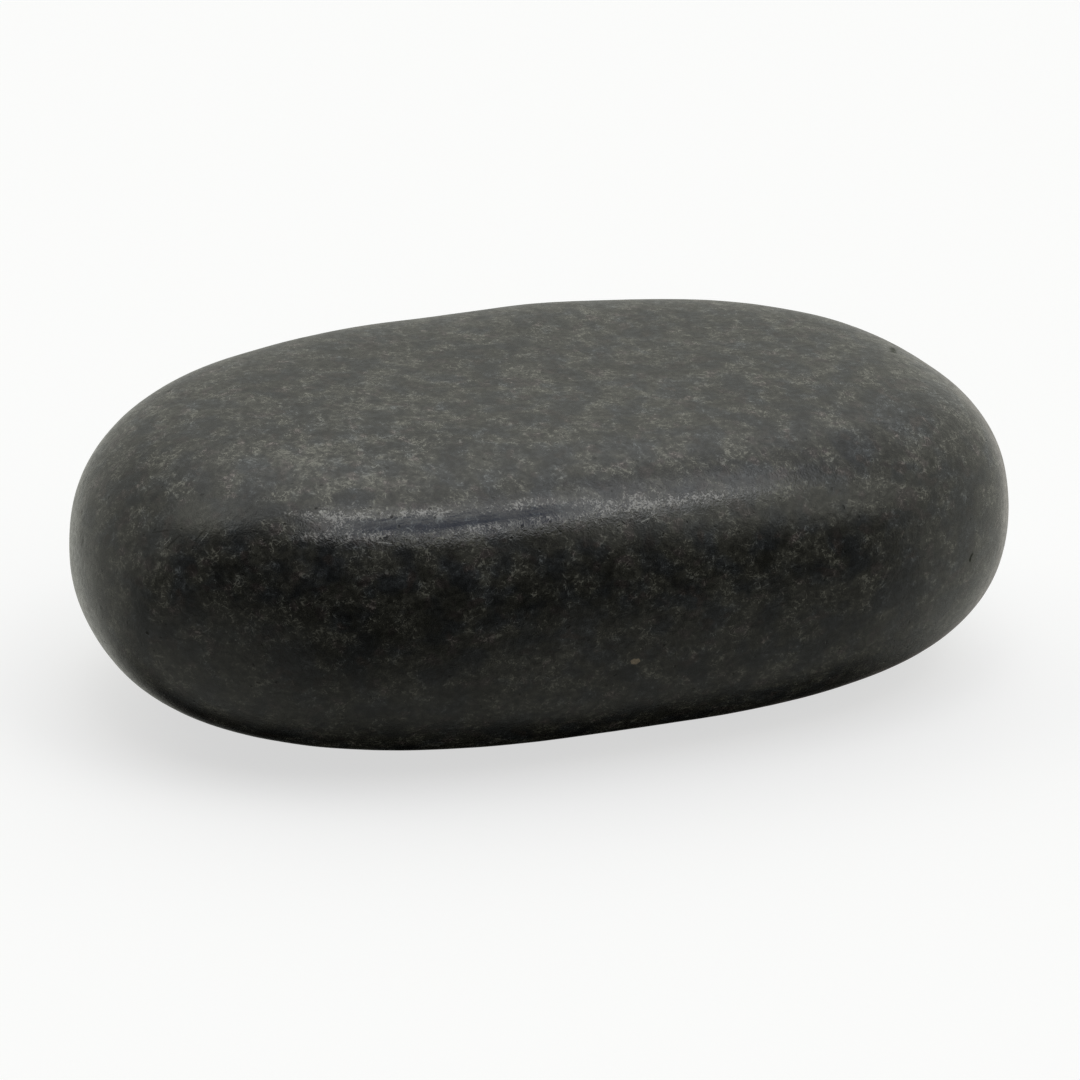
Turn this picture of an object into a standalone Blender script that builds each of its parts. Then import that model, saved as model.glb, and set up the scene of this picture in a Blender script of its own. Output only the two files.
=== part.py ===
"""River pebble: one water-worn stone, lying on the worn flat under its belly.

Units are metres, +Z is up and the stone's long axis lies along X. The origin
is the middle of the footprint box, on the plane that the stone rests on.

The skin is one closed surface. Every point of a unit sphere is pushed out along
its own direction until it meets the stone's profile: a rounded-box outline seen
from above, a flat crown over a tight shoulder, and a deeper, rounder belly. The
low swells and shallow hollows that the river left are then raised on that form
along its normals, and the lowest bulge is worn away to a flat.
"""

import bmesh
import bpy
import numpy as np

# Overall size of the stone, measured over its box.
LENGTH = 0.1000
WIDTH = 0.0695
HEIGHT = 0.0335

# The widest line round the stone, as a share of the height above its lowest point.
GIRTH_SHARE = 0.511

# The outline seen from above: a power of 2 is an ellipse, and a higher one is squarer.
OUTLINE_POWER = 2.66

# Lobes that water wore round the outline: waves in a full turn, and how much the
# reach swells as a share of itself on the cosine (+X) and on the sine (+Y).
OUTLINE_LOBES = (
    (1, -0.021, 0.015),
    (2, 0.018, 0.002),
    (3, -0.016, -0.015),
    (4, 0.009, 0.004),
)

# Powers of the upright profile. The first flattens the middle of the crown or
# the belly, and the second rounds the wall between it and the widest line.
CROWN_POWERS = (6.5, 2.27)
BELLY_POWERS = (4.9, 2.09)

# The crown sits a little off the belly: sideways shift for each metre of height.
LEAN_X = -0.005
LEAN_Y = -0.050

# Swells and hollows: the middle of each, its breadth along X, its breadth across
# that, and how high it stands along the surface's normal, below it where negative.
SWELLS = (
    # the long rise along the near shoulder, with the knuckle at its left end
    ((-0.005, -0.033, 0.025), 0.022, 0.005, 0.00055),
    ((-0.035, -0.024, 0.027), 0.007, 0.007, 0.00060),
    ((0.031, -0.028, 0.029), 0.008, 0.006, -0.00025),
    # the low bumps and the dip of the crown behind it
    ((-0.022, -0.022, 0.033), 0.014, 0.007, -0.00045),
    ((-0.036, -0.008, 0.033), 0.007, 0.007, 0.00030),
    ((-0.020, -0.005, 0.033), 0.010, 0.006, -0.00030),
    ((-0.006, -0.016, 0.033), 0.008, 0.005, 0.00025),
    # where the near flank draws in under the widest line
    ((-0.028, -0.029, 0.009), 0.014, 0.007, -0.00050),
    ((0.017, -0.027, 0.008), 0.014, 0.008, -0.00075),
    # the far flank
    ((-0.014, 0.031, 0.012), 0.012, 0.007, 0.00020),
    ((0.024, 0.030, 0.010), 0.010, 0.006, -0.00035),
)

# How much of the belly's lowest bulge is worn away to the flat that it rests on.
WORN_DEPTH = 0.0002

# Facets of the skin: round the girth, and from pole to pole.
GIRTH_STEPS = 80
POLE_STEPS = 40

# Halvings of the search for the profile, which settle it far below a micrometre.
SEARCH_STEPS = 48
FARTHEST_REACH = 3.0

STONE_COLOUR = (0.058, 0.060, 0.053, 1.0)
STONE_ROUGHNESS = 0.55


def clear_scene():
    """Remove whatever objects the scene starts with."""
    for old in list(bpy.data.objects):
        bpy.data.objects.remove(old, do_unlink=True)


def outline_reach(x, y):
    """Distance from the axis in units of the outline: 1 on it, less inside it.

    It is the p-norm of x and y, divided by 1 plus the sum of the lobes' waves.
    """
    turn = np.arctan2(y, x)
    swell = 1.0 + sum(
        along_x * np.cos(waves * turn) + along_y * np.sin(waves * turn)
        for waves, along_x, along_y in OUTLINE_LOBES
    )
    norm = (np.abs(x) ** OUTLINE_POWER + np.abs(y) ** OUTLINE_POWER) ** (1 / OUTLINE_POWER)
    return norm / swell


def reach_of_profile(directions):
    """How far each direction runs before it meets the stone's upright profile.

    The profile is where (out ** first power) + (up ** second power) is 1, with
    the crown's powers above the widest line and the belly's below it.
    """
    x, y, z = directions.T
    out = outline_reach(x, y)
    up = np.abs(z)
    first = np.where(z >= 0, CROWN_POWERS[0], BELLY_POWERS[0])
    second = np.where(z >= 0, CROWN_POWERS[1], BELLY_POWERS[1])
    near = np.zeros(len(z))
    far = np.full(len(z), FARTHEST_REACH)
    for _ in range(SEARCH_STEPS):
        middle = (near + far) / 2
        inside = (middle * out) ** first + (middle * up) ** second < 1
        near = np.where(inside, middle, near)
        far = np.where(inside, far, middle)
    return (near + far) / 2


def fitted_to_box(points):
    """The points moved and scaled so that their box has the stone's size and place."""
    low = points.min(axis=0)
    high = points.max(axis=0)
    middle = (low + high) / 2
    middle[2] = low[2]
    return (points - middle) * (LENGTH, WIDTH, HEIGHT) / (high - low)


def broad_form(directions):
    """The stone's skin along each unit direction before any swell, in metres."""
    points = directions * reach_of_profile(directions)[:, None]
    crown = HEIGHT * (1 - GIRTH_SHARE)
    belly = HEIGHT * GIRTH_SHARE
    points[:, 2] *= np.where(points[:, 2] >= 0, crown, belly)
    points[:, :2] *= (LENGTH / 2, WIDTH / 2)
    points[:, 0] += LEAN_X * points[:, 2]
    points[:, 1] += LEAN_Y * points[:, 2]
    return fitted_to_box(points)


def swell_heights(points):
    """How far the swells and hollows lift each point: a sum of Gaussian mounds."""
    lift = np.zeros(len(points))
    for middle, along, across, height in SWELLS:
        offsets = (points - middle) / (along, across, across)
        lift += height * np.exp(-0.5 * (offsets**2).sum(axis=1))
    return lift


def worn_flat_below(points):
    """The points with the lowest bulge cut off level, fitted to the box again."""
    points = points.copy()
    worn_level = points[:, 2].min() + WORN_DEPTH
    points[:, 2] = np.maximum(points[:, 2], worn_level)
    return fitted_to_box(points)


def move_vertices(shape, points):
    """Put the vertices of a bmesh at the points, and bring its normals up to date."""
    for vertex, point in zip(shape.verts, points):
        vertex.co = point
    shape.normal_update()


def make_stone_material():
    """Plain dark stone, semi-polished by the water."""
    material = bpy.data.materials.new("river_stone")
    material.use_nodes = True
    shader = material.node_tree.nodes["Principled BSDF"]
    shader.inputs["Base Color"].default_value = STONE_COLOUR
    shader.inputs["Roughness"].default_value = STONE_ROUGHNESS
    shader.inputs["Metallic"].default_value = 0.0
    material.diffuse_color = STONE_COLOUR
    return material


def make_pebble(collection):
    """The stone itself: a sphere whose points are moved out to the pebble's skin."""
    shape = bmesh.new()
    bmesh.ops.create_uvsphere(shape, u_segments=GIRTH_STEPS, v_segments=POLE_STEPS, radius=1.0)
    directions = np.array([vertex.co.normalized() for vertex in shape.verts])
    points = broad_form(directions)
    move_vertices(shape, points)
    normals = np.array([vertex.normal for vertex in shape.verts])
    points += normals * swell_heights(points)[:, None]
    move_vertices(shape, worn_flat_below(points))
    mesh = bpy.data.meshes.new("pebble")
    shape.to_mesh(mesh)
    shape.free()
    mesh.shade_smooth()
    mesh.materials.append(make_stone_material())
    pebble = bpy.data.objects.new("pebble", mesh)
    collection.objects.link(pebble)
    return pebble


clear_scene()
river_pebble = bpy.data.collections.new("river_pebble")
bpy.context.scene.collection.children.link(river_pebble)
make_pebble(river_pebble)
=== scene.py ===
import bpy
import numpy as np
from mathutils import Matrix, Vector


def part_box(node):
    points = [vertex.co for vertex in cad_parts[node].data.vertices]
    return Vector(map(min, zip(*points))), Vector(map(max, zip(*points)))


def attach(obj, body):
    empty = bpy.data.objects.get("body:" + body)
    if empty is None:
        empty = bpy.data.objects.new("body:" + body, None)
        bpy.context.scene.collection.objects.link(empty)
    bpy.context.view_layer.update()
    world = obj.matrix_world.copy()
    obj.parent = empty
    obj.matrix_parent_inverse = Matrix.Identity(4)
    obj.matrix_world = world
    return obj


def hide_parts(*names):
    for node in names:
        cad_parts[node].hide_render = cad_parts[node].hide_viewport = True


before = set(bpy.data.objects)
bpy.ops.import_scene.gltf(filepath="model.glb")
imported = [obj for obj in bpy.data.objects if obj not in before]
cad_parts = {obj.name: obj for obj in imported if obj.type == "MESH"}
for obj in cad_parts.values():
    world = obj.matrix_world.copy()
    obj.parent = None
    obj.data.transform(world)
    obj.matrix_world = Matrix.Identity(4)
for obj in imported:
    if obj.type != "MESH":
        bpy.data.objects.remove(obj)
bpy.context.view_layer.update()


# ---------------------------------------------------------------------------
# The stone. One river-worn pebble of fine-grained basalt, tumbled until its
# crown is nearly flat and its skin has a waxy half polish. Nothing is fixed
# to it: it lies loose on the small flat that is worn under its belly.
# ---------------------------------------------------------------------------

MM = 0.001

stone_low, stone_high = (np.array(corner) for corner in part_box("pebble"))
STONE_SIZE = stone_high - stone_low

# The outline seen from above: how square it is, where 2 is an ellipse, and its
# lobes, each with a number of waves round the stone and their cosine and sine parts.
OUTLINE_POWER = 2.66
OUTLINE_LOBES = (
    (1, -0.021, 0.015),
    (2, 0.018, 0.002),
    (3, -0.016, -0.015),
    (4, 0.009, 0.004),
)

# The profile: the share of the height that lies below the widest line, the powers
# of the distance outwards and of the height, and how the middle leans as it rises.
GIRTH_SHARE = 0.511
CROWN_POWERS = (6.5, 2.27)
BELLY_POWERS = (4.9, 2.09)
LEAN_X = -0.005
LEAN_Y = -0.050

# How deep the resting flat is worn, and how near the floor a point counts as on it.
WORN_DEPTH = 0.2 * MM
FLAT_MARGIN = 0.01 * MM

# Swells and hollows in millimetres: middle, breadth along X and across it, height.
SWELLS = (
    ((-5, -33, 25), 22, 5, 0.55),
    ((-35, -24, 27), 7, 7, 0.60),
    ((31, -28, 29), 8, 6, -0.25),
    ((-22, -22, 33), 14, 7, -0.45),
    ((-36, -8, 33), 7, 7, 0.30),
    ((-20, -5, 33), 10, 6, -0.30),
    ((-6, -16, 33), 8, 5, 0.25),
    ((-28, -29, 9), 14, 7, -0.50),
    ((17, -27, 8), 14, 8, -0.75),
    ((-14, 31, 12), 12, 7, 0.20),
    ((24, 30, 10), 10, 6, -0.35),
    ((44.6, -3.0, 29.3), 7, 6, 0.22),
)

# Ripples left by wear, in millimetres: shortest and longest wavelength, how far
# they stand up on average, and how many waves are added up.
RIPPLES = (
    (14.0, 26.0, 0.045, 40),
    (5.0, 9.0, 0.012, 60),
    (1.8, 3.2, 0.0022, 90),
)
RIPPLE_SEED = 11

# Open pits that are wide enough for the mesh, in millimetres. Most lie anywhere;
# three known ones have a middle, a radius and a depth.
PIT_COUNT = 46
PIT_RADIUS = (0.35, 0.75)
PIT_DEPTH = (0.03, 0.09)
KNOWN_PITS = (
    ((40.7, -1.7, 31.5), 1.1, 0.05),
    ((-38.1, -19.6, 30.2), 0.8, 0.08),
    ((38.3, -27.6, 17.0), 0.6, 0.05),
)
PIT_SEED = 5

# Quads along each side of the box that the mesh's grids start from, and how far
# and in how many halvings the profile is looked for along each direction.
GRID_COUNTS = (192, 134, 70)
SEARCH_REACH = 3.0
SEARCH_HALVINGS = 48


def box_sphere_grid(counts):
    """Directions and quads of a ball, from six grids on the faces of a box.

    A grid point (i, j, k) on the box's surface has i / count along each side,
    stretched by tan(quarter turn * (2 i / count - 1)) so that the angles are
    even, then scaled to length 1. Points shared by two grids are made one.
    """
    counts = np.array(counts)
    points = []
    quads = []
    start = 0
    for side in range(3):
        along, across = (side + 1) % 3, (side + 2) % 3
        for end in (0, 1):
            i, j = np.meshgrid(
                np.arange(counts[along] + 1), np.arange(counts[across] + 1), indexing="ij"
            )
            lattice = np.zeros(i.shape + (3,), int)
            lattice[..., side] = end * counts[side]
            lattice[..., along] = i
            lattice[..., across] = j
            number = start + np.arange(i.size).reshape(i.shape)
            corners = [number[:-1, :-1], number[1:, :-1], number[1:, 1:], number[:-1, 1:]]
            if end == 0:
                corners.reverse()
            quads.append(np.stack(corners, axis=-1).reshape(-1, 4))
            points.append(lattice.reshape(-1, 3))
            start += i.size
    lattice, where = np.unique(np.concatenate(points), axis=0, return_inverse=True)
    quads = where.reshape(-1)[np.concatenate(quads)]
    spread = np.tan(np.pi / 4 * (2 * lattice / counts - 1))
    return spread / np.linalg.norm(spread, axis=1)[:, None], quads


def outline_reach(x, y):
    """Distance from the upright axis, 1 on the outline seen from above.

    The p-norm of x and y over 1 plus the sum of each lobe's cosine and sine.
    """
    turn = np.arctan2(y, x)
    swell = 1.0 + sum(
        along_x * np.cos(waves * turn) + along_y * np.sin(waves * turn)
        for waves, along_x, along_y in OUTLINE_LOBES
    )
    norm = (np.abs(x) ** OUTLINE_POWER + np.abs(y) ** OUTLINE_POWER) ** (1 / OUTLINE_POWER)
    return norm / swell


def fitted_to_box(points):
    """The points moved and scaled so that their box is the stone's."""
    low = points.min(axis=0)
    high = points.max(axis=0)
    return stone_low + (points - low) * STONE_SIZE / (high - low)


def broad_form(directions):
    """The stone before any swell: each direction runs out to the profile.

    The profile is where (outline distance ** first power) + (height ** second
    power) is 1, found by halving; the result is stretched to the box.
    """
    x, y, z = directions.T
    out = outline_reach(x, y)
    up = np.abs(z)
    first = np.where(z >= 0, CROWN_POWERS[0], BELLY_POWERS[0])
    second = np.where(z >= 0, CROWN_POWERS[1], BELLY_POWERS[1])
    near = np.zeros(len(z))
    far = np.full(len(z), SEARCH_REACH)
    for _ in range(SEARCH_HALVINGS):
        middle = (near + far) / 2
        inside = (middle * out) ** first + (middle * up) ** second < 1
        near = np.where(inside, middle, near)
        far = np.where(inside, far, middle)
    points = directions * ((near + far) / 2)[:, None]
    crown = STONE_SIZE[2] * (1 - GIRTH_SHARE)
    belly = STONE_SIZE[2] * GIRTH_SHARE
    points[:, 2] *= np.where(points[:, 2] >= 0, crown, belly)
    points[:, :2] *= STONE_SIZE[:2] / 2
    points[:, 0] += LEAN_X * points[:, 2]
    points[:, 1] += LEAN_Y * points[:, 2]
    return fitted_to_box(points)


def normals_of(points, quads):
    """Outward normals: the sum of the cross products of each quad's diagonals."""
    a, b, c, d = (points[quads[:, corner]] for corner in range(4))
    across = np.cross(c - a, d - b)
    normals = np.zeros_like(points)
    for corner in range(4):
        np.add.at(normals, quads[:, corner], across)
    return normals / np.linalg.norm(normals, axis=1)[:, None]


def swell_heights(points):
    """Sum of Gaussian mounds, each height * exp(-half of squared offsets)."""
    lift = np.zeros(len(points))
    for middle, along, across, height in SWELLS:
        offsets = (points / MM - middle) / (along, across, across)
        lift += height * MM * np.exp(-0.5 * (offsets**2).sum(axis=1))
    return lift


def ripple_heights(points, random):
    """Sum of cosine waves in random directions, for each band of wavelengths."""
    lift = np.zeros(len(points))
    for shortest, longest, height, count in RIPPLES:
        heading = random.normal(size=(count, 3))
        heading /= np.linalg.norm(heading, axis=1)[:, None]
        wavelength = random.uniform(shortest, longest, count) * MM
        phase = random.uniform(0, 2 * np.pi, count)
        turns = points @ (heading * (2 * np.pi / wavelength)[:, None]).T + phase
        lift += height * MM * np.sqrt(2 / count) * np.cos(turns).sum(axis=1)
    return lift


def pit_depths(points, random):
    """Shallow round pits: depth * (1 - squared distance over radius) squared."""
    pits = list(KNOWN_PITS)
    for place in random.choice(len(points), PIT_COUNT, replace=False):
        pits.append((points[place] / MM, random.uniform(*PIT_RADIUS), random.uniform(*PIT_DEPTH)))
    sunk = np.zeros(len(points))
    for middle, radius, depth in pits:
        away = ((points / MM - middle) ** 2).sum(axis=1) / radius**2
        sunk = np.maximum(sunk, depth * MM * np.maximum(1 - away, 0) ** 2)
    return sunk


def mesh_piece(name, points, quads):
    """A smooth-shaded object at the origin from arrays of points and quads."""
    mesh = bpy.data.meshes.new(name)
    mesh.from_pydata(points, [], quads)
    mesh.shade_smooth()
    piece = bpy.data.objects.new(name, mesh)
    bpy.context.scene.collection.objects.link(piece)
    return piece


directions, stone_quads = box_sphere_grid(GRID_COUNTS)
skin = broad_form(directions)
skin += normals_of(skin, stone_quads) * swell_heights(skin)[:, None]
skin[:, 2] = np.maximum(skin[:, 2], skin[:, 2].min() + WORN_DEPTH)
skin = fitted_to_box(skin)
resting = skin[:, 2] < stone_low[2] + FLAT_MARGIN
broad_normals = normals_of(skin, stone_quads)
wear = ripple_heights(skin, np.random.default_rng(RIPPLE_SEED))
wear -= pit_depths(skin, np.random.default_rng(PIT_SEED))
skin += broad_normals * np.where(resting, 0, wear)[:, None]
skin = np.clip(skin, stone_low, stone_high)
stone = mesh_piece("river_stone", skin, stone_quads)


# What handling and weather have done to the skin, as masks, with the light painted
# into the polished strip: handled skin is rubbed smoother, the polished strip has a
# lower relief and is painted darker and bluer as a painted dim bluish reflection,
# grainy skin has a higher relief, and the bleached crown has more contrast. A slope
# is the upward part of the surface's own direction, 1 where it is level and 0 where
# it is upright. Ends are millimetres along X. Four numbers are where a mask starts to
# rise, is full, starts to fall and is gone; two are where it starts to rise and is full.
HANDLED_SLOPES = (0.40, 0.54, 0.80, 0.88)
HANDLED_ENDS = (-40, -32, 14, 28)
POLISH_AND_PAINTED_REFLECTION_SLOPES = (0.64, 0.68, 0.75, 0.79)
POLISH_AND_PAINTED_REFLECTION_ENDS = (-33, -27, -8, 0)
GRAINY_SLOPES = (0.45, 0.60, 0.88, 0.95)
GRAINY_ENDS = (-46, -38, 40, 48)
BLEACHED_SLOPES = (0.5, 0.95)

# Two rows of scuffs and painted highlight run along the near shoulder, above and
# below the polished strip: pale speckles where the shoulder mirrors the lamps. Each
# has its slope on the left and its slope where the rows have met. On the left the
# rows have a share of their full strength.
SCUFF_AND_HIGHLIGHT_ROWS = ((0.805, 0.67), (0.635, 0.665))
SCUFF_AND_HIGHLIGHT_MEETING = (-13, 2)
SCUFF_AND_HIGHLIGHT_BREADTH = 0.032
SCUFF_AND_HIGHLIGHT_ENDS = (-37, -31, 2, 17)
SCUFF_AND_HIGHLIGHT_LEFT_SHARE = 0.62
SCUFF_AND_HIGHLIGHT_STRENGTHENING = (-12, -4)

# Three more gatherings of scuffs and painted highlight, in millimetres: middle,
# radius and strength.
SCUFF_AND_HIGHLIGHT_CLUSTERS = (
    ((-29.6, -26.6, 29.5), 1.9, 0.6),
    ((-4.6, -31.7, 29.25), 2.0, 0.30),
    ((0.0, -32.0, 29.2), 2.2, 0.5),
)


def smooth_step(values, low, high):
    """3 t^2 - 2 t^3, with t the share of the way from low to high."""
    share = np.clip((values - low) / (high - low), 0, 1)
    return share * share * (3 - 2 * share)


def window(values, rise_from, rise_to, fall_from, fall_to):
    """Up from 0 to 1 between the first two values and down between the others."""
    return smooth_step(values, rise_from, rise_to) * (1 - smooth_step(values, fall_from, fall_to))


def set_mask(piece, name, values):
    """Store one number for each point of the mesh, for the material to read."""
    mask = piece.data.attributes.new(name, "FLOAT", "POINT")
    mask.data.foreach_set("value", np.ascontiguousarray(values, dtype=np.float32))


near_side = broad_normals[:, 1] < 0
slope = broad_normals[:, 2]
along_mm = skin[:, 0] / MM
meeting = smooth_step(along_mm, *SCUFF_AND_HIGHLIGHT_MEETING)
strengthening = smooth_step(along_mm, *SCUFF_AND_HIGHLIGHT_STRENGTHENING)
scuff_and_highlight = np.zeros(len(skin))
for apart, together in SCUFF_AND_HIGHLIGHT_ROWS:
    middle = apart + (together - apart) * meeting
    scuff_and_highlight = np.maximum(scuff_and_highlight, np.exp(-(((slope - middle) / SCUFF_AND_HIGHLIGHT_BREADTH) ** 2)))
scuff_and_highlight *= SCUFF_AND_HIGHLIGHT_LEFT_SHARE + (1 - SCUFF_AND_HIGHLIGHT_LEFT_SHARE) * strengthening
scuff_and_highlight *= window(along_mm, *SCUFF_AND_HIGHLIGHT_ENDS)
for middle, radius, strength in SCUFF_AND_HIGHLIGHT_CLUSTERS:
    away = ((skin / MM - middle) ** 2).sum(axis=1) / radius**2
    scuff_and_highlight += strength * np.exp(-away)
# The material paints pale scuffs and painted highlight where this mask is high.
set_mask(stone, "scuff_and_highlight", near_side * scuff_and_highlight)
for name, slopes, ends in (
    ("polish_and_painted_reflection", POLISH_AND_PAINTED_REFLECTION_SLOPES, POLISH_AND_PAINTED_REFLECTION_ENDS),
    ("handled", HANDLED_SLOPES, HANDLED_ENDS),
    ("grainy", GRAINY_SLOPES, GRAINY_ENDS),
):
    set_mask(stone, name, near_side * window(slope, *slopes) * window(along_mm, *ends))
set_mask(stone, "bleached", smooth_step(slope, *BLEACHED_SLOPES))


# Basalt: a nearly black glassy ground, full of pale olive laths that curl round
# each other, with bright grains and bluish patches. Lengths are in millimetres.
# The fabric runs longer where its scale is smaller, and a slow wander curls it.
FABRIC_SCALES = (0.92, 0.74, 1.06)
CURL_REACH = 0.7
RAGGED_REACH = 0.5

# Layers of noise: breadth, octaves of finer detail, the strength of each octave
# beside the one before, and a step that sets the layer apart from the others.
WANDER = (0.8, 1.0, 0.5, (0, 0, 0))
CLOUDS = (7.0, 2.0, 0.5, (31, 7, 3))
BLUISH_PATCHES = (3.0, 2.0, 0.5, (77, 1, 4))
SCUFF_AND_HIGHLIGHT_CLUMPS = (2.4, 1.0, 0.5, (60, 3, 1))
PATCHES = (2.0, 2.0, 0.55, (5, 51, 9))
ROSY_PATCHES = (1.6, 1.0, 0.5, (14, 41, 2))
MOTTLES = (0.6, 2.0, 0.5, (0, 0, 0))
CRYSTALS = (0.22, 0.0, 0.5, (8, 8, 60))
GRAINS = (0.2, 1.0, 0.5, (3, 9, 27))
SCUFF_AND_HIGHLIGHT_GRAINS = (0.19, 2.0, 0.6, (2, 70, 1))

# Levels of a layer's noise from which it starts to show and at which it shows fully.
CRYSTAL_LEVELS = (0.70, 0.80)
BLUISH_LEVELS = (0.42, 0.66)
ROSY_LEVELS = (0.56, 0.70)
SPECKLE_LEVELS = (0.43, 0.62)

# Laths: how broadly they curl, how far the noise may be from its middle value,
# and the step. The cut into pieces is a share as broad, between two levels.
LONG_LATHS = (0.70, 0.045, (13, 2, 8))
SHORT_LATHS = (0.45, 0.05, (4, 33, 6))
LATH_CUT_SHARE = 0.8
LATH_CUT_STEP = (9, 5, 2)
LATH_CUT_LEVELS = (0.46, 0.58)

# The laths crowd together in the patches: two levels of the patches' noise, and
# how strong the laths are at each. In bluish rock they lose a share of that.
CROWDED_LEVELS = (0.38, 0.62)
CROWDED_STRENGTHS = (0.15, 1.0)
CROWDED_LOSS = 0.5

# Pores: how far apart they lie, and the radius where each ends and where it is full.
# Both they and the scratches are fainter than the pits and flecks.
PORE_SPACING = 1.9
PORE_RADII = (0.21, 0.12)
PORE_STRENGTH = 0.45
SCRATCH_STRENGTH = 0.6

# Single round marks, each with its middle and radius.
# Pits, painted near-black as painted shade inside them.
PIT_MARKS = (
    ((-31.9, -24.3, 30.3), 0.17),
    ((-25.2, -27.7, 29.7), 0.19),
    ((-26.3, -29.1, 28.05), 0.22),
    ((-26.8, -28.95, 28.0), 0.15),
    ((-12.8, -31.6, 28.5), 0.17),
    ((-10.0, -31.8, 28.6), 0.14),
    ((-49.5, 2.2, 19.7), 0.28),
    ((-49.7, -0.4, 19.8), 0.22),
    ((-50.0, -3.5, 16.3), 0.25),
    ((-49.7, -8.2, 16.4), 0.20),
    ((-49.4, -7.0, 13.5), 0.20),
    ((-49.6, -8.3, 15.5), 0.17),
    ((-47.3, -16.1, 16.2), 0.20),
    ((-46.7, -16.6, 14.4), 0.14),
)
FLECK_MARKS = (
    ((-31.6, -24.85, 30.05), 0.17),
    ((-31.3, -24.95, 30.05), 0.15),
    ((-28.2, -28.2, 28.4), 0.12),
    ((-27.4, -27.0, 29.7), 0.13),
    ((-28.9, -27.2, 29.1), 0.10),
)
MARK_SOFTNESS = 0.4
TAN_GRAIN = (
    ((-1.55, -33.6, 13.2), 0.32),
    ((-1.2, -33.6, 13.35), 0.25),
)
TAN_SOFTNESS = 0.2

# Single scratches and gouges, each with its start, its end and half its width.
DARK_SCRATCHES = (
    ((-42.9, -19.1, 26.6), (-41.85, -19.2, 27.75), 0.14),
    ((-45.2, -16.7, 25.3), (-44.0, -17.3, 26.65), 0.15),
    ((-45.85, -14.1, 26.1), (-44.75, -15.7, 26.7), 0.12),
    ((-0.4, -32.7, 28.1), (0.3, -32.7, 28.25), 0.09),
)
# Gouges, painted green-black as painted shade inside them.
GOUGES = (
    ((40.2, -2.9, 31.75), (41.0, -0.9, 31.5), 0.60),
    ((38.35, -27.55, 17.4), (38.2, -27.65, 16.9), 0.31),
)
PALE_SCRATCHES = (
    ((-27.0, -29.15, 27.75), (-25.9, -29.55, 27.6), 0.11),
    ((-42.5, -19.6, 26.6), (-41.8, -19.7, 27.4), 0.065),
    ((-45.35, -16.25, 25.4), (-44.7, -16.55, 26.2), 0.055),
    ((-0.65, -32.9, 27.8), (0.2, -32.8, 28.0), 0.10),
)
SCRATCH_CORE_SHARE = 0.3

# Patches where the fabric differs: middle, radius and how soft the edge is.
CALM_PATCH = ((-41.0, -17.5, 28.6), 3.2, 0.6)
PALE_PATCH = ((-31.0, -15.5, 32.5), 4.0, 0.7)
BOLD_PATCH = ((-25.0, -12.0, 33.0), 10.0, 0.6)

# The ground's level, the hues that multiply it, and the colours laid over it.
GROUND_LEVEL = 0.0412
OLIVE = (1.005, 0.985, 0.835, 1)
BLUISH = (0.90, 0.965, 1.015, 1)
ROSY = (1.10, 0.96, 0.90, 1)
# Bluish hue for the polished strip, painted as its dim reflection.
PAINTED_REFLECTION_BLUE = (0.88, 0.99, 1.04, 1)
# Pale for the scuffs and for the painted highlight on the near shoulder.
PALE_SCUFF_AND_HIGHLIGHT = (0.30, 0.292, 0.28, 1)
TAN = (0.34, 0.275, 0.195, 1)
# Near-black for the pits and pores and green-black for the gouges: painted shade inside them.
PIT_SHADE_BLACK = (0.008, 0.008, 0.006, 1)
GOUGE_SHADE_BLACK = (0.016, 0.019, 0.010, 1)
FLECK_PALE = (0.40, 0.40, 0.375, 1)

# The tone that no grain passes, and how softly grains are held below it.
BRIGHTEST_TONE = 1.5
TONE_SOFTNESS = 0.8

# How far the grain of the scuffs and painted highlight gathers into clumps and follows
# the mask, the mask's level from which the grain is full, and the haze that the rows have
# throughout.
CLUMPING = 0.48
SCUFF_AND_HIGHLIGHT_CROWDING = 0.20
SCUFF_AND_HIGHLIGHT_FULL_LEVEL = 0.25
HAZE_STRENGTH = 0.15

# Half polish: roughness between the mottles and on them, with the levels of the
# mottles' noise, and how much smoother the handled skin is.
MOTTLE_LEVELS = (0.3, 0.7)
MOTTLE_ROUGHNESS = (0.30, 0.22)
HANDLED_SMOOTHER = 0.10

# Sheen of the skin, what pits and gouges take from it, and the least that is left.
SHEEN = 0.5
PIT_SHEEN_LOSS = 0.25
GOUGE_SHEEN_LOSS = 0.46
LEAST_SHEEN = 0.04

# How high the relief that is too fine for the mesh stands, and the index of
# refraction of its waxy skin.
RELIEF_HEIGHT = 0.018 * MM
SKIN_IOR = 1.5

basalt = bpy.data.materials.new("worn_basalt")
basalt.use_nodes = True
basalt_nodes = basalt.node_tree.nodes
basalt_links = basalt.node_tree.links
basalt_shader = basalt_nodes["Principled BSDF"]
basalt_shader.inputs["IOR"].default_value = SKIN_IOR


def feed(socket, value):
    """Link a socket to another node's output, or set it to a plain value."""
    if isinstance(value, bpy.types.NodeSocket):
        basalt_links.new(value, socket)
    else:
        socket.default_value = value


def calc(operation, *values, clamp=False):
    """The output of a Math node."""
    node = basalt_nodes.new("ShaderNodeMath")
    node.operation = operation
    node.use_clamp = clamp
    for socket, value in zip(node.inputs, values):
        feed(socket, value)
    return node.outputs[0]


def plus(total, value, weight):
    """The total and, on top of it, the value times its weight."""
    return calc("MULTIPLY_ADD", value, weight, total)


def centred(value):
    """The value less 0.5, the middle value of noise."""
    return calc("SUBTRACT", value, 0.5)


def changed(value, mask, share):
    """The value times (1 + share * mask)."""
    return calc("MULTIPLY", value, calc("MULTIPLY_ADD", mask, share, 1.0))


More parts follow.
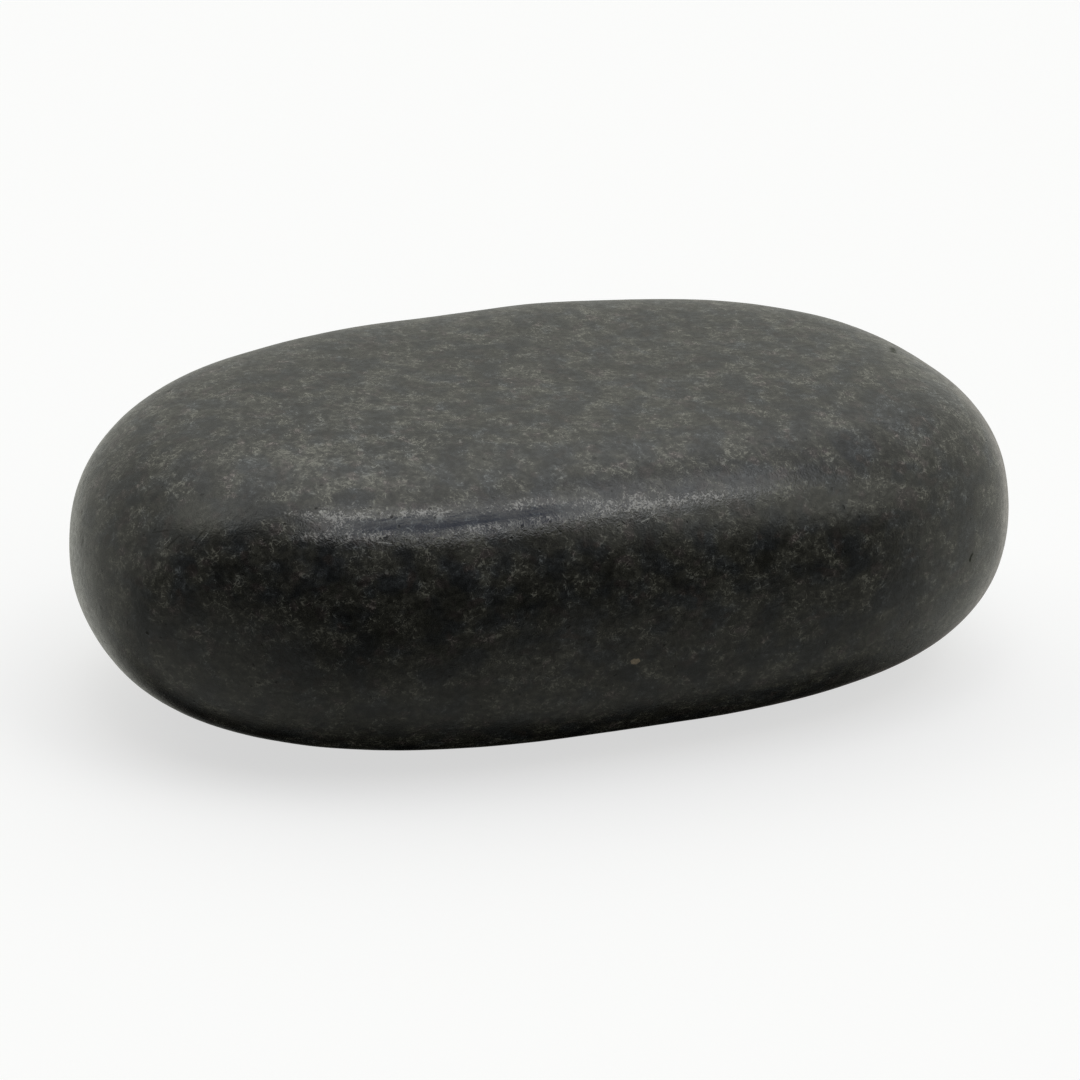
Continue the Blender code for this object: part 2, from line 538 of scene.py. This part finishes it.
def vector_calc(operation, *values, scale=None):
    """The output of a Vector Math node."""
    node = basalt_nodes.new("ShaderNodeVectorMath")
    node.operation = operation
    for socket, value in zip(node.inputs, values):
        feed(socket, value)
    if scale is not None:
        feed(node.inputs["Scale"], scale)
    return node.outputs["Value" if operation in ("DISTANCE", "DOT_PRODUCT") else "Vector"]


def remap(value, low, high, to_low=0.0, to_high=1.0):
    """A smooth step of value from low to high, put out between two levels."""
    node = basalt_nodes.new("ShaderNodeMapRange")
    node.interpolation_type = "SMOOTHSTEP"
    for name, number in (
        ("Value", value),
        ("From Min", low),
        ("From Max", high),
        ("To Min", to_low),
        ("To Max", to_high),
    ):
        feed(node.inputs[name], number)
    return node.outputs["Result"]


def noise(place, breadth, octaves, falloff, step=(0, 0, 0), output="Fac"):
    """Noise whose largest features are about as broad as given, read a step away."""
    node = basalt_nodes.new("ShaderNodeTexNoise")
    feed(node.inputs["Vector"], vector_calc("ADD", place, step))
    node.inputs["Scale"].default_value = 1 / breadth
    node.inputs["Detail"].default_value = octaves
    node.inputs["Roughness"].default_value = falloff
    return node.outputs[output]


def cell_distance(place, spacing):
    """Distance to the nearest of random points that lie about a spacing apart."""
    node = basalt_nodes.new("ShaderNodeTexVoronoi")
    feed(node.inputs["Vector"], place)
    node.inputs["Scale"].default_value = 1 / spacing
    return calc("MULTIPLY", node.outputs["Distance"], spacing)


def mask_of(name):
    """One number per point of the mesh, as stored under the name."""
    node = basalt_nodes.new("ShaderNodeAttribute")
    node.attribute_name = name
    return node.outputs["Fac"]


def blend(share, first, second):
    """The Mix node's colour: first where share is 0, second where it is 1."""
    node = basalt_nodes.new("ShaderNodeMix")
    node.data_type = "RGBA"
    feed(node.inputs[0], share)
    feed(node.inputs[6], first)
    feed(node.inputs[7], second)
    return node.outputs[2]


def strongest(masks):
    """The largest of several masks."""
    largest = masks[0]
    for mask in masks[1:]:
        largest = calc("MAXIMUM", largest, mask)
    return largest


def spot(place, middle, radius, softness):
    """A round mask that falls from 1 to 0 over a share of the radius on both sides of it."""
    away = vector_calc("DISTANCE", place, middle)
    return remap(away, radius * (1 + softness), radius * (1 - softness))


def spots(place, marks, softness):
    """The strongest of several round masks."""
    return strongest([spot(place, middle, radius, softness) for middle, radius in marks])


def stroke(place, start, end, half_width):
    """A straight scratch: 1 in its core, 0 beyond its half width.

    The nearest point of a scratch is its start plus its run times a share, which is
    (place - start) . run / (run . run) held between 0 and 1.
    """
    run = Vector(end) - Vector(start)
    from_start = vector_calc("SUBTRACT", place, start)
    along = vector_calc("DOT_PRODUCT", from_start, run)
    share = calc("MULTIPLY", along, 1 / run.length_squared, clamp=True)
    nearest = vector_calc("SCALE", run, scale=share)
    away = vector_calc("DISTANCE", from_start, nearest)
    return remap(away, half_width, half_width * SCRATCH_CORE_SHARE)


def strokes(place, marks):
    """The strongest of several scratches."""
    return strongest([stroke(place, *mark) for mark in marks])


def laths(place, breadth, half_width, step):
    """Curved threads: thin where noise of this breadth crosses its middle value.

    A second noise cuts them into pieces.
    """
    start = vector_calc("ADD", place, step)
    off_middle = calc("ABSOLUTE", centred(noise(start, breadth, 1.0, 0.5)))
    cut = noise(start, breadth * LATH_CUT_SHARE, 1.0, 0.5, LATH_CUT_STEP)
    return calc("MULTIPLY", remap(off_middle, half_width, 0.0), remap(cut, *LATH_CUT_LEVELS))


object_place = basalt_nodes.new("ShaderNodeTexCoord").outputs["Object"]
in_mm = vector_calc("SCALE", object_place, scale=1 / MM)
bedded = vector_calc("MULTIPLY", in_mm, FABRIC_SCALES)
wander = vector_calc("SUBTRACT", noise(bedded, *WANDER, output="Color"), (0.5, 0.5, 0.5))
curled = vector_calc("ADD", bedded, vector_calc("SCALE", wander, scale=CURL_REACH))
ragged = vector_calc("ADD", in_mm, vector_calc("SCALE", wander, scale=RAGGED_REACH))

patch = noise(bedded, *PATCHES)
mottle = noise(curled, *MOTTLES)
grain = noise(curled, *GRAINS)
crystals = remap(noise(bedded, *CRYSTALS), *CRYSTAL_LEVELS)
bluish = remap(noise(bedded, *BLUISH_PATCHES), *BLUISH_LEVELS)
rosy = remap(noise(bedded, *ROSY_PATCHES), *ROSY_LEVELS)
long_laths = laths(curled, *LONG_LATHS)
short_laths = laths(curled, *SHORT_LATHS)
crowded = remap(patch, *CROWDED_LEVELS, *CROWDED_STRENGTHS)
crowded = changed(crowded, bluish, -CROWDED_LOSS)

pores = remap(cell_distance(ragged, PORE_SPACING), *PORE_RADII)
faint_pores = calc("MULTIPLY", pores, PORE_STRENGTH)
dark_scratches = calc("MULTIPLY", strokes(in_mm, DARK_SCRATCHES), SCRATCH_STRENGTH)
pale_scratches = calc("MULTIPLY", strokes(in_mm, PALE_SCRATCHES), SCRATCH_STRENGTH)
# Pits and pores are painted near-black as painted shade inside them; the dark scratches join
# them.
pit_shade_and_dark_scratches = strongest([faint_pores, spots(ragged, PIT_MARKS, MARK_SOFTNESS), dark_scratches])
bright_flecks = strongest([spots(ragged, FLECK_MARKS, MARK_SOFTNESS), pale_scratches])
gouges_with_painted_shade = strokes(ragged, GOUGES)
tan_grain = spots(ragged, TAN_GRAIN, TAN_SOFTNESS)
calm = spot(in_mm, *CALM_PATCH)
pale = spot(in_mm, *PALE_PATCH)
bold = spot(in_mm, *BOLD_PATCH)
scuff_and_highlight_mask = mask_of("scuff_and_highlight")
polish_and_painted_reflection = mask_of("polish_and_painted_reflection")
handled = mask_of("handled")

# Brightness is e to the power of a tone, because mineral grains differ by ratios.
# The tone adds up the layers, each with its weight. Its contrast is stronger on the
# bleached crown and in the bold patch, and weaker in the calm one.
tone = calc("MULTIPLY", centred(noise(bedded, *CLOUDS)), 1.05)
for layer, weight in (
    (bluish, -0.40),
    (centred(patch), 1.75),
    (centred(mottle), 2.6),
    (centred(grain), 0.4),
    (calc("MULTIPLY", long_laths, crowded), 2.0),
    (calc("MULTIPLY", short_laths, crowded), 1.75),
    (crystals, 0.4),
):
    tone = plus(tone, layer, weight)
contrast = 0.96
for mask, weight in ((mask_of("bleached"), 0.16), (bold, 0.45), (calm, -0.6)):
    contrast = plus(contrast, mask, weight)
tone = calc("MULTIPLY", tone, contrast)
# The pale patch is lighter, and the polished strip is painted darker as part of its painted
# reflection.
for mask, weight in ((pale, 0.2), (polish_and_painted_reflection, -0.4)):
    tone = plus(tone, mask, weight)
tone = calc("SMOOTH_MIN", tone, BRIGHTEST_TONE, TONE_SOFTNESS)
brightness = calc("EXPONENT", tone)

# Scuffs and painted highlight: pale grains, partly bruised wear and partly the painted
# glints of the lamps on the near shoulder, the closer together the stronger the mask,
# over a thin haze that covers the whole of it.
scuff_and_highlight_grain = plus(noise(curled, *SCUFF_AND_HIGHLIGHT_GRAINS), calc("ADD", long_laths, short_laths), 0.08)
scuff_and_highlight_grain = plus(scuff_and_highlight_grain, centred(mottle), 0.45)
clumps = calc("MULTIPLY", centred(noise(bedded, *SCUFF_AND_HIGHLIGHT_CLUMPS)), CLUMPING)
crowding = plus(clumps, calc("SUBTRACT", scuff_and_highlight_mask, 1.0), SCUFF_AND_HIGHLIGHT_CROWDING)
speckle = remap(calc("ADD", scuff_and_highlight_grain, crowding), *SPECKLE_LEVELS)
speckle = calc("MULTIPLY", speckle, remap(scuff_and_highlight_mask, 0.0, SCUFF_AND_HIGHLIGHT_FULL_LEVEL))
haze = calc("MULTIPLY", scuff_and_highlight_mask, HAZE_STRENGTH)
scuffs_and_painted_highlight = calc("MAXIMUM", speckle, haze)

hue = blend(bluish, OLIVE, BLUISH)
hue = blend(rosy, hue, ROSY)
# The polished strip is painted bluer, as its painted reflection.
hue = blend(calc("MULTIPLY", polish_and_painted_reflection, 0.8), hue, PAINTED_REFLECTION_BLUE)
colour = vector_calc("SCALE", hue, scale=calc("MULTIPLY", brightness, GROUND_LEVEL))
for mask, paint in (
    # Pale scuffs with painted highlight.
    (scuffs_and_painted_highlight, PALE_SCUFF_AND_HIGHLIGHT),
    (tan_grain, TAN),
    # Painted shade in the pits, pores and gouges, with the dark scratches.
    (pit_shade_and_dark_scratches, PIT_SHADE_BLACK),
    (gouges_with_painted_shade, GOUGE_SHADE_BLACK),
    (bright_flecks, FLECK_PALE),
):
    colour = blend(mask, colour, paint)
feed(basalt_shader.inputs["Base Color"], colour)

dullness = remap(mottle, *MOTTLE_LEVELS, *MOTTLE_ROUGHNESS)
feed(basalt_shader.inputs["Roughness"], plus(dullness, handled, -HANDLED_SMOOTHER))
sheen = plus(SHEEN, pit_shade_and_dark_scratches, -PIT_SHEEN_LOSS)
sheen = plus(sheen, gouges_with_painted_shade, -GOUGE_SHEEN_LOSS)
feed(basalt_shader.inputs["Specular IOR Level"], calc("MAXIMUM", sheen, LEAST_SHEEN))

# In the fine relief, mottles and grains stand up and pores are sunk. It is lower in
# the polished strip, and higher in the rows of scuffs and painted highlight and all along the
# near shoulder.
relief = plus(mottle, grain, 0.7)
for mask, share in ((polish_and_painted_reflection, -0.7), (scuff_and_highlight_mask, 1.0), (mask_of("grainy"), 0.9)):
    relief = changed(relief, mask, share)
relief = plus(relief, pores, -1.1)
bump = basalt_nodes.new("ShaderNodeBump")
bump.inputs["Strength"].default_value = 1.0
bump.inputs["Distance"].default_value = RELIEF_HEIGHT
feed(bump.inputs["Height"], relief)
feed(basalt_shader.inputs["Normal"], bump.outputs["Normal"])
stone.data.materials.append(basalt)

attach(stone, "root")
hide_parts("pebble")


# ---------------------------------------------------------------------------
# The floor: a plain pale sheet of matt paper that the stone lies on. It glows
# a little, so that it stays pale to its edge. It throws no light back at the
# stone, whose underside is lit by the room below.
# ---------------------------------------------------------------------------

FLOOR_RADIUS = 3.0
FLOOR_CORNERS = 128
FLOOR_GREY = (0.42, 0.42, 0.42, 1)
FLOOR_GLOW = (1, 1, 1, 1)
FLOOR_GLOW_STRENGTH = 0.64

bpy.ops.mesh.primitive_circle_add(vertices=FLOOR_CORNERS, radius=FLOOR_RADIUS, fill_type="NGON")
floor = bpy.context.object
floor.name = "floor"
floor_paint = bpy.data.materials.new("floor_paint")
floor_paint.use_nodes = True
floor_shader = floor_paint.node_tree.nodes["Principled BSDF"]
floor_shader.inputs["Base Color"].default_value = FLOOR_GREY
floor_shader.inputs["Roughness"].default_value = 1.0
floor_shader.inputs["Specular IOR Level"].default_value = 0.0
floor_shader.inputs["Emission Color"].default_value = FLOOR_GLOW
floor_shader.inputs["Emission Strength"].default_value = FLOOR_GLOW_STRENGTH
floor.data.materials.append(floor_paint)
floor.visible_diffuse = False
floor.visible_glossy = False


# ---------------------------------------------------------------------------
# Light: the air of a studio, made of soft-edged discs of directions that add
# up. The large ones are the ceiling, the walls and the floor round the stone.
# The small ones are boxes and panels that the polished shoulder mirrors.
# ---------------------------------------------------------------------------

WARM = (1.0, 1.01, 0.92)
PALE = (1.0, 1.01, 0.985)
NEUTRAL = (1.0, 1.015, 1.03)
ROSY_WARM = (1.06, 0.98, 0.90)
MISSING_WARM = (1.0, 0.98, 0.80)

# Azimuth from the front towards the right and elevation, then the half angles of
# the full disc and of its faded edge, all in degrees, and brightness and colour. A
# brightness below zero takes light away, as a gap between two boxes does.
SOFT_LIGHTS = (
    ("ceiling", 145.1, 74.5, 16.4, 55.4, 0.66, PALE),
    ("box at the front right", 45.8, 34.8, 6.1, 30.0, 1.07, WARM),
    ("wall on the right", 100.5, -4.7, 32.3, 53.9, 0.56, WARM),
    ("wall behind", 197.7, 20.4, 49.8, 65.6, 0.412, WARM),
    ("floor on the left", 273.6, -48.1, 11.7, 49.6, 0.36, WARM),
    ("floor in front", 36.5, -55.9, 15.4, 38.2, 0.28, WARM),
    ("box overhead", 25.5, 73.6, 14.6, 32.4, 1.25, NEUTRAL),
    ("panel in front", -1.0, 51.0, 3.5, 10.0, 1.15, NEUTRAL),
    ("gap below the box", 6.0, 66.0, 5.5, 12.5, -1.25, MISSING_WARM),
    ("panel right of it", 21.0, 52.5, 2.5, 8.5, 1.15, NEUTRAL),
    ("panel on the left", -33.0, 60.5, 3.0, 10.0, 0.75, NEUTRAL),
    ("panel on the right", 36.0, 58.6, 2.0, 9.7, 0.80, NEUTRAL),
    ("panel at the top", 43.7, 86.1, 2.0, 8.9, 0.45, NEUTRAL),
    ("box behind on the left", -120.0, 46.5, 9.0, 17.0, 0.68, WARM),
    ("floor behind", 177.0, -18.0, 4.0, 18.0, 0.25, WARM),
    ("floor behind on the right", 141.0, -18.0, 4.0, 20.0, 0.33, ROSY_WARM),
)


def direction_of(azimuth, elevation):
    """Unit vector: azimuth in degrees from -Y towards +X, elevation above level."""
    turn, rise = np.radians((azimuth, elevation))
    return Vector((np.sin(turn) * np.cos(rise), -np.cos(turn) * np.cos(rise), np.sin(rise)))


air = bpy.data.worlds.new("studio_air")
bpy.context.scene.world = air
air.use_nodes = True
air_nodes = air.node_tree.nodes
air_links = air.node_tree.links
air_direction = air_nodes.new("ShaderNodeTexCoord").outputs["Generated"]
air_light = None
for name, azimuth, elevation, full, faded, strength, tint in SOFT_LIGHTS:
    towards = air_nodes.new("ShaderNodeVectorMath")
    towards.operation = "DOT_PRODUCT"
    air_links.new(air_direction, towards.inputs[0])
    towards.inputs[1].default_value = direction_of(azimuth, elevation)
    disc = air_nodes.new("ShaderNodeMapRange")
    disc.label = name
    disc.interpolation_type = "SMOOTHSTEP"
    air_links.new(towards.outputs["Value"], disc.inputs["Value"])
    disc.inputs["From Min"].default_value = np.cos(np.radians(faded))
    disc.inputs["From Max"].default_value = np.cos(np.radians(full))
    disc.inputs["To Max"].default_value = strength
    added = air_nodes.new("ShaderNodeVectorMath")
    added.operation = "MULTIPLY_ADD"
    added.inputs[0].default_value = tint
    air_links.new(disc.outputs["Result"], added.inputs[1])
    if air_light is not None:
        air_links.new(air_light, added.inputs[2])
    air_light = added.outputs["Vector"]
air_links.new(air_light, air_nodes["Background"].inputs["Color"])
bpy.context.scene.view_settings.view_transform = "Standard"


# ---------------------------------------------------------------------------
# Camera: a long lens looking a little down on the stone, past its near left.
# ---------------------------------------------------------------------------

VIEW_AZIMUTH = -20.7
VIEW_ELEVATION = 20.0
VIEW_DISTANCE = 600 * MM
VIEW_AIM = Vector((0.25, -1.9, 15.2)) * MM
LENS_MM = 189.6
SENSOR_MM = 36.0

camera_data = bpy.data.cameras.new("camera")
camera_data.sensor_width = SENSOR_MM
camera_data.lens = LENS_MM
camera = bpy.data.objects.new("camera", camera_data)
bpy.context.scene.collection.objects.link(camera)
away = direction_of(VIEW_AZIMUTH, VIEW_ELEVATION)
camera.location = VIEW_AIM + away * VIEW_DISTANCE
camera.rotation_euler = away.to_track_quat("Z", "Y").to_euler()
bpy.context.scene.camera = camera
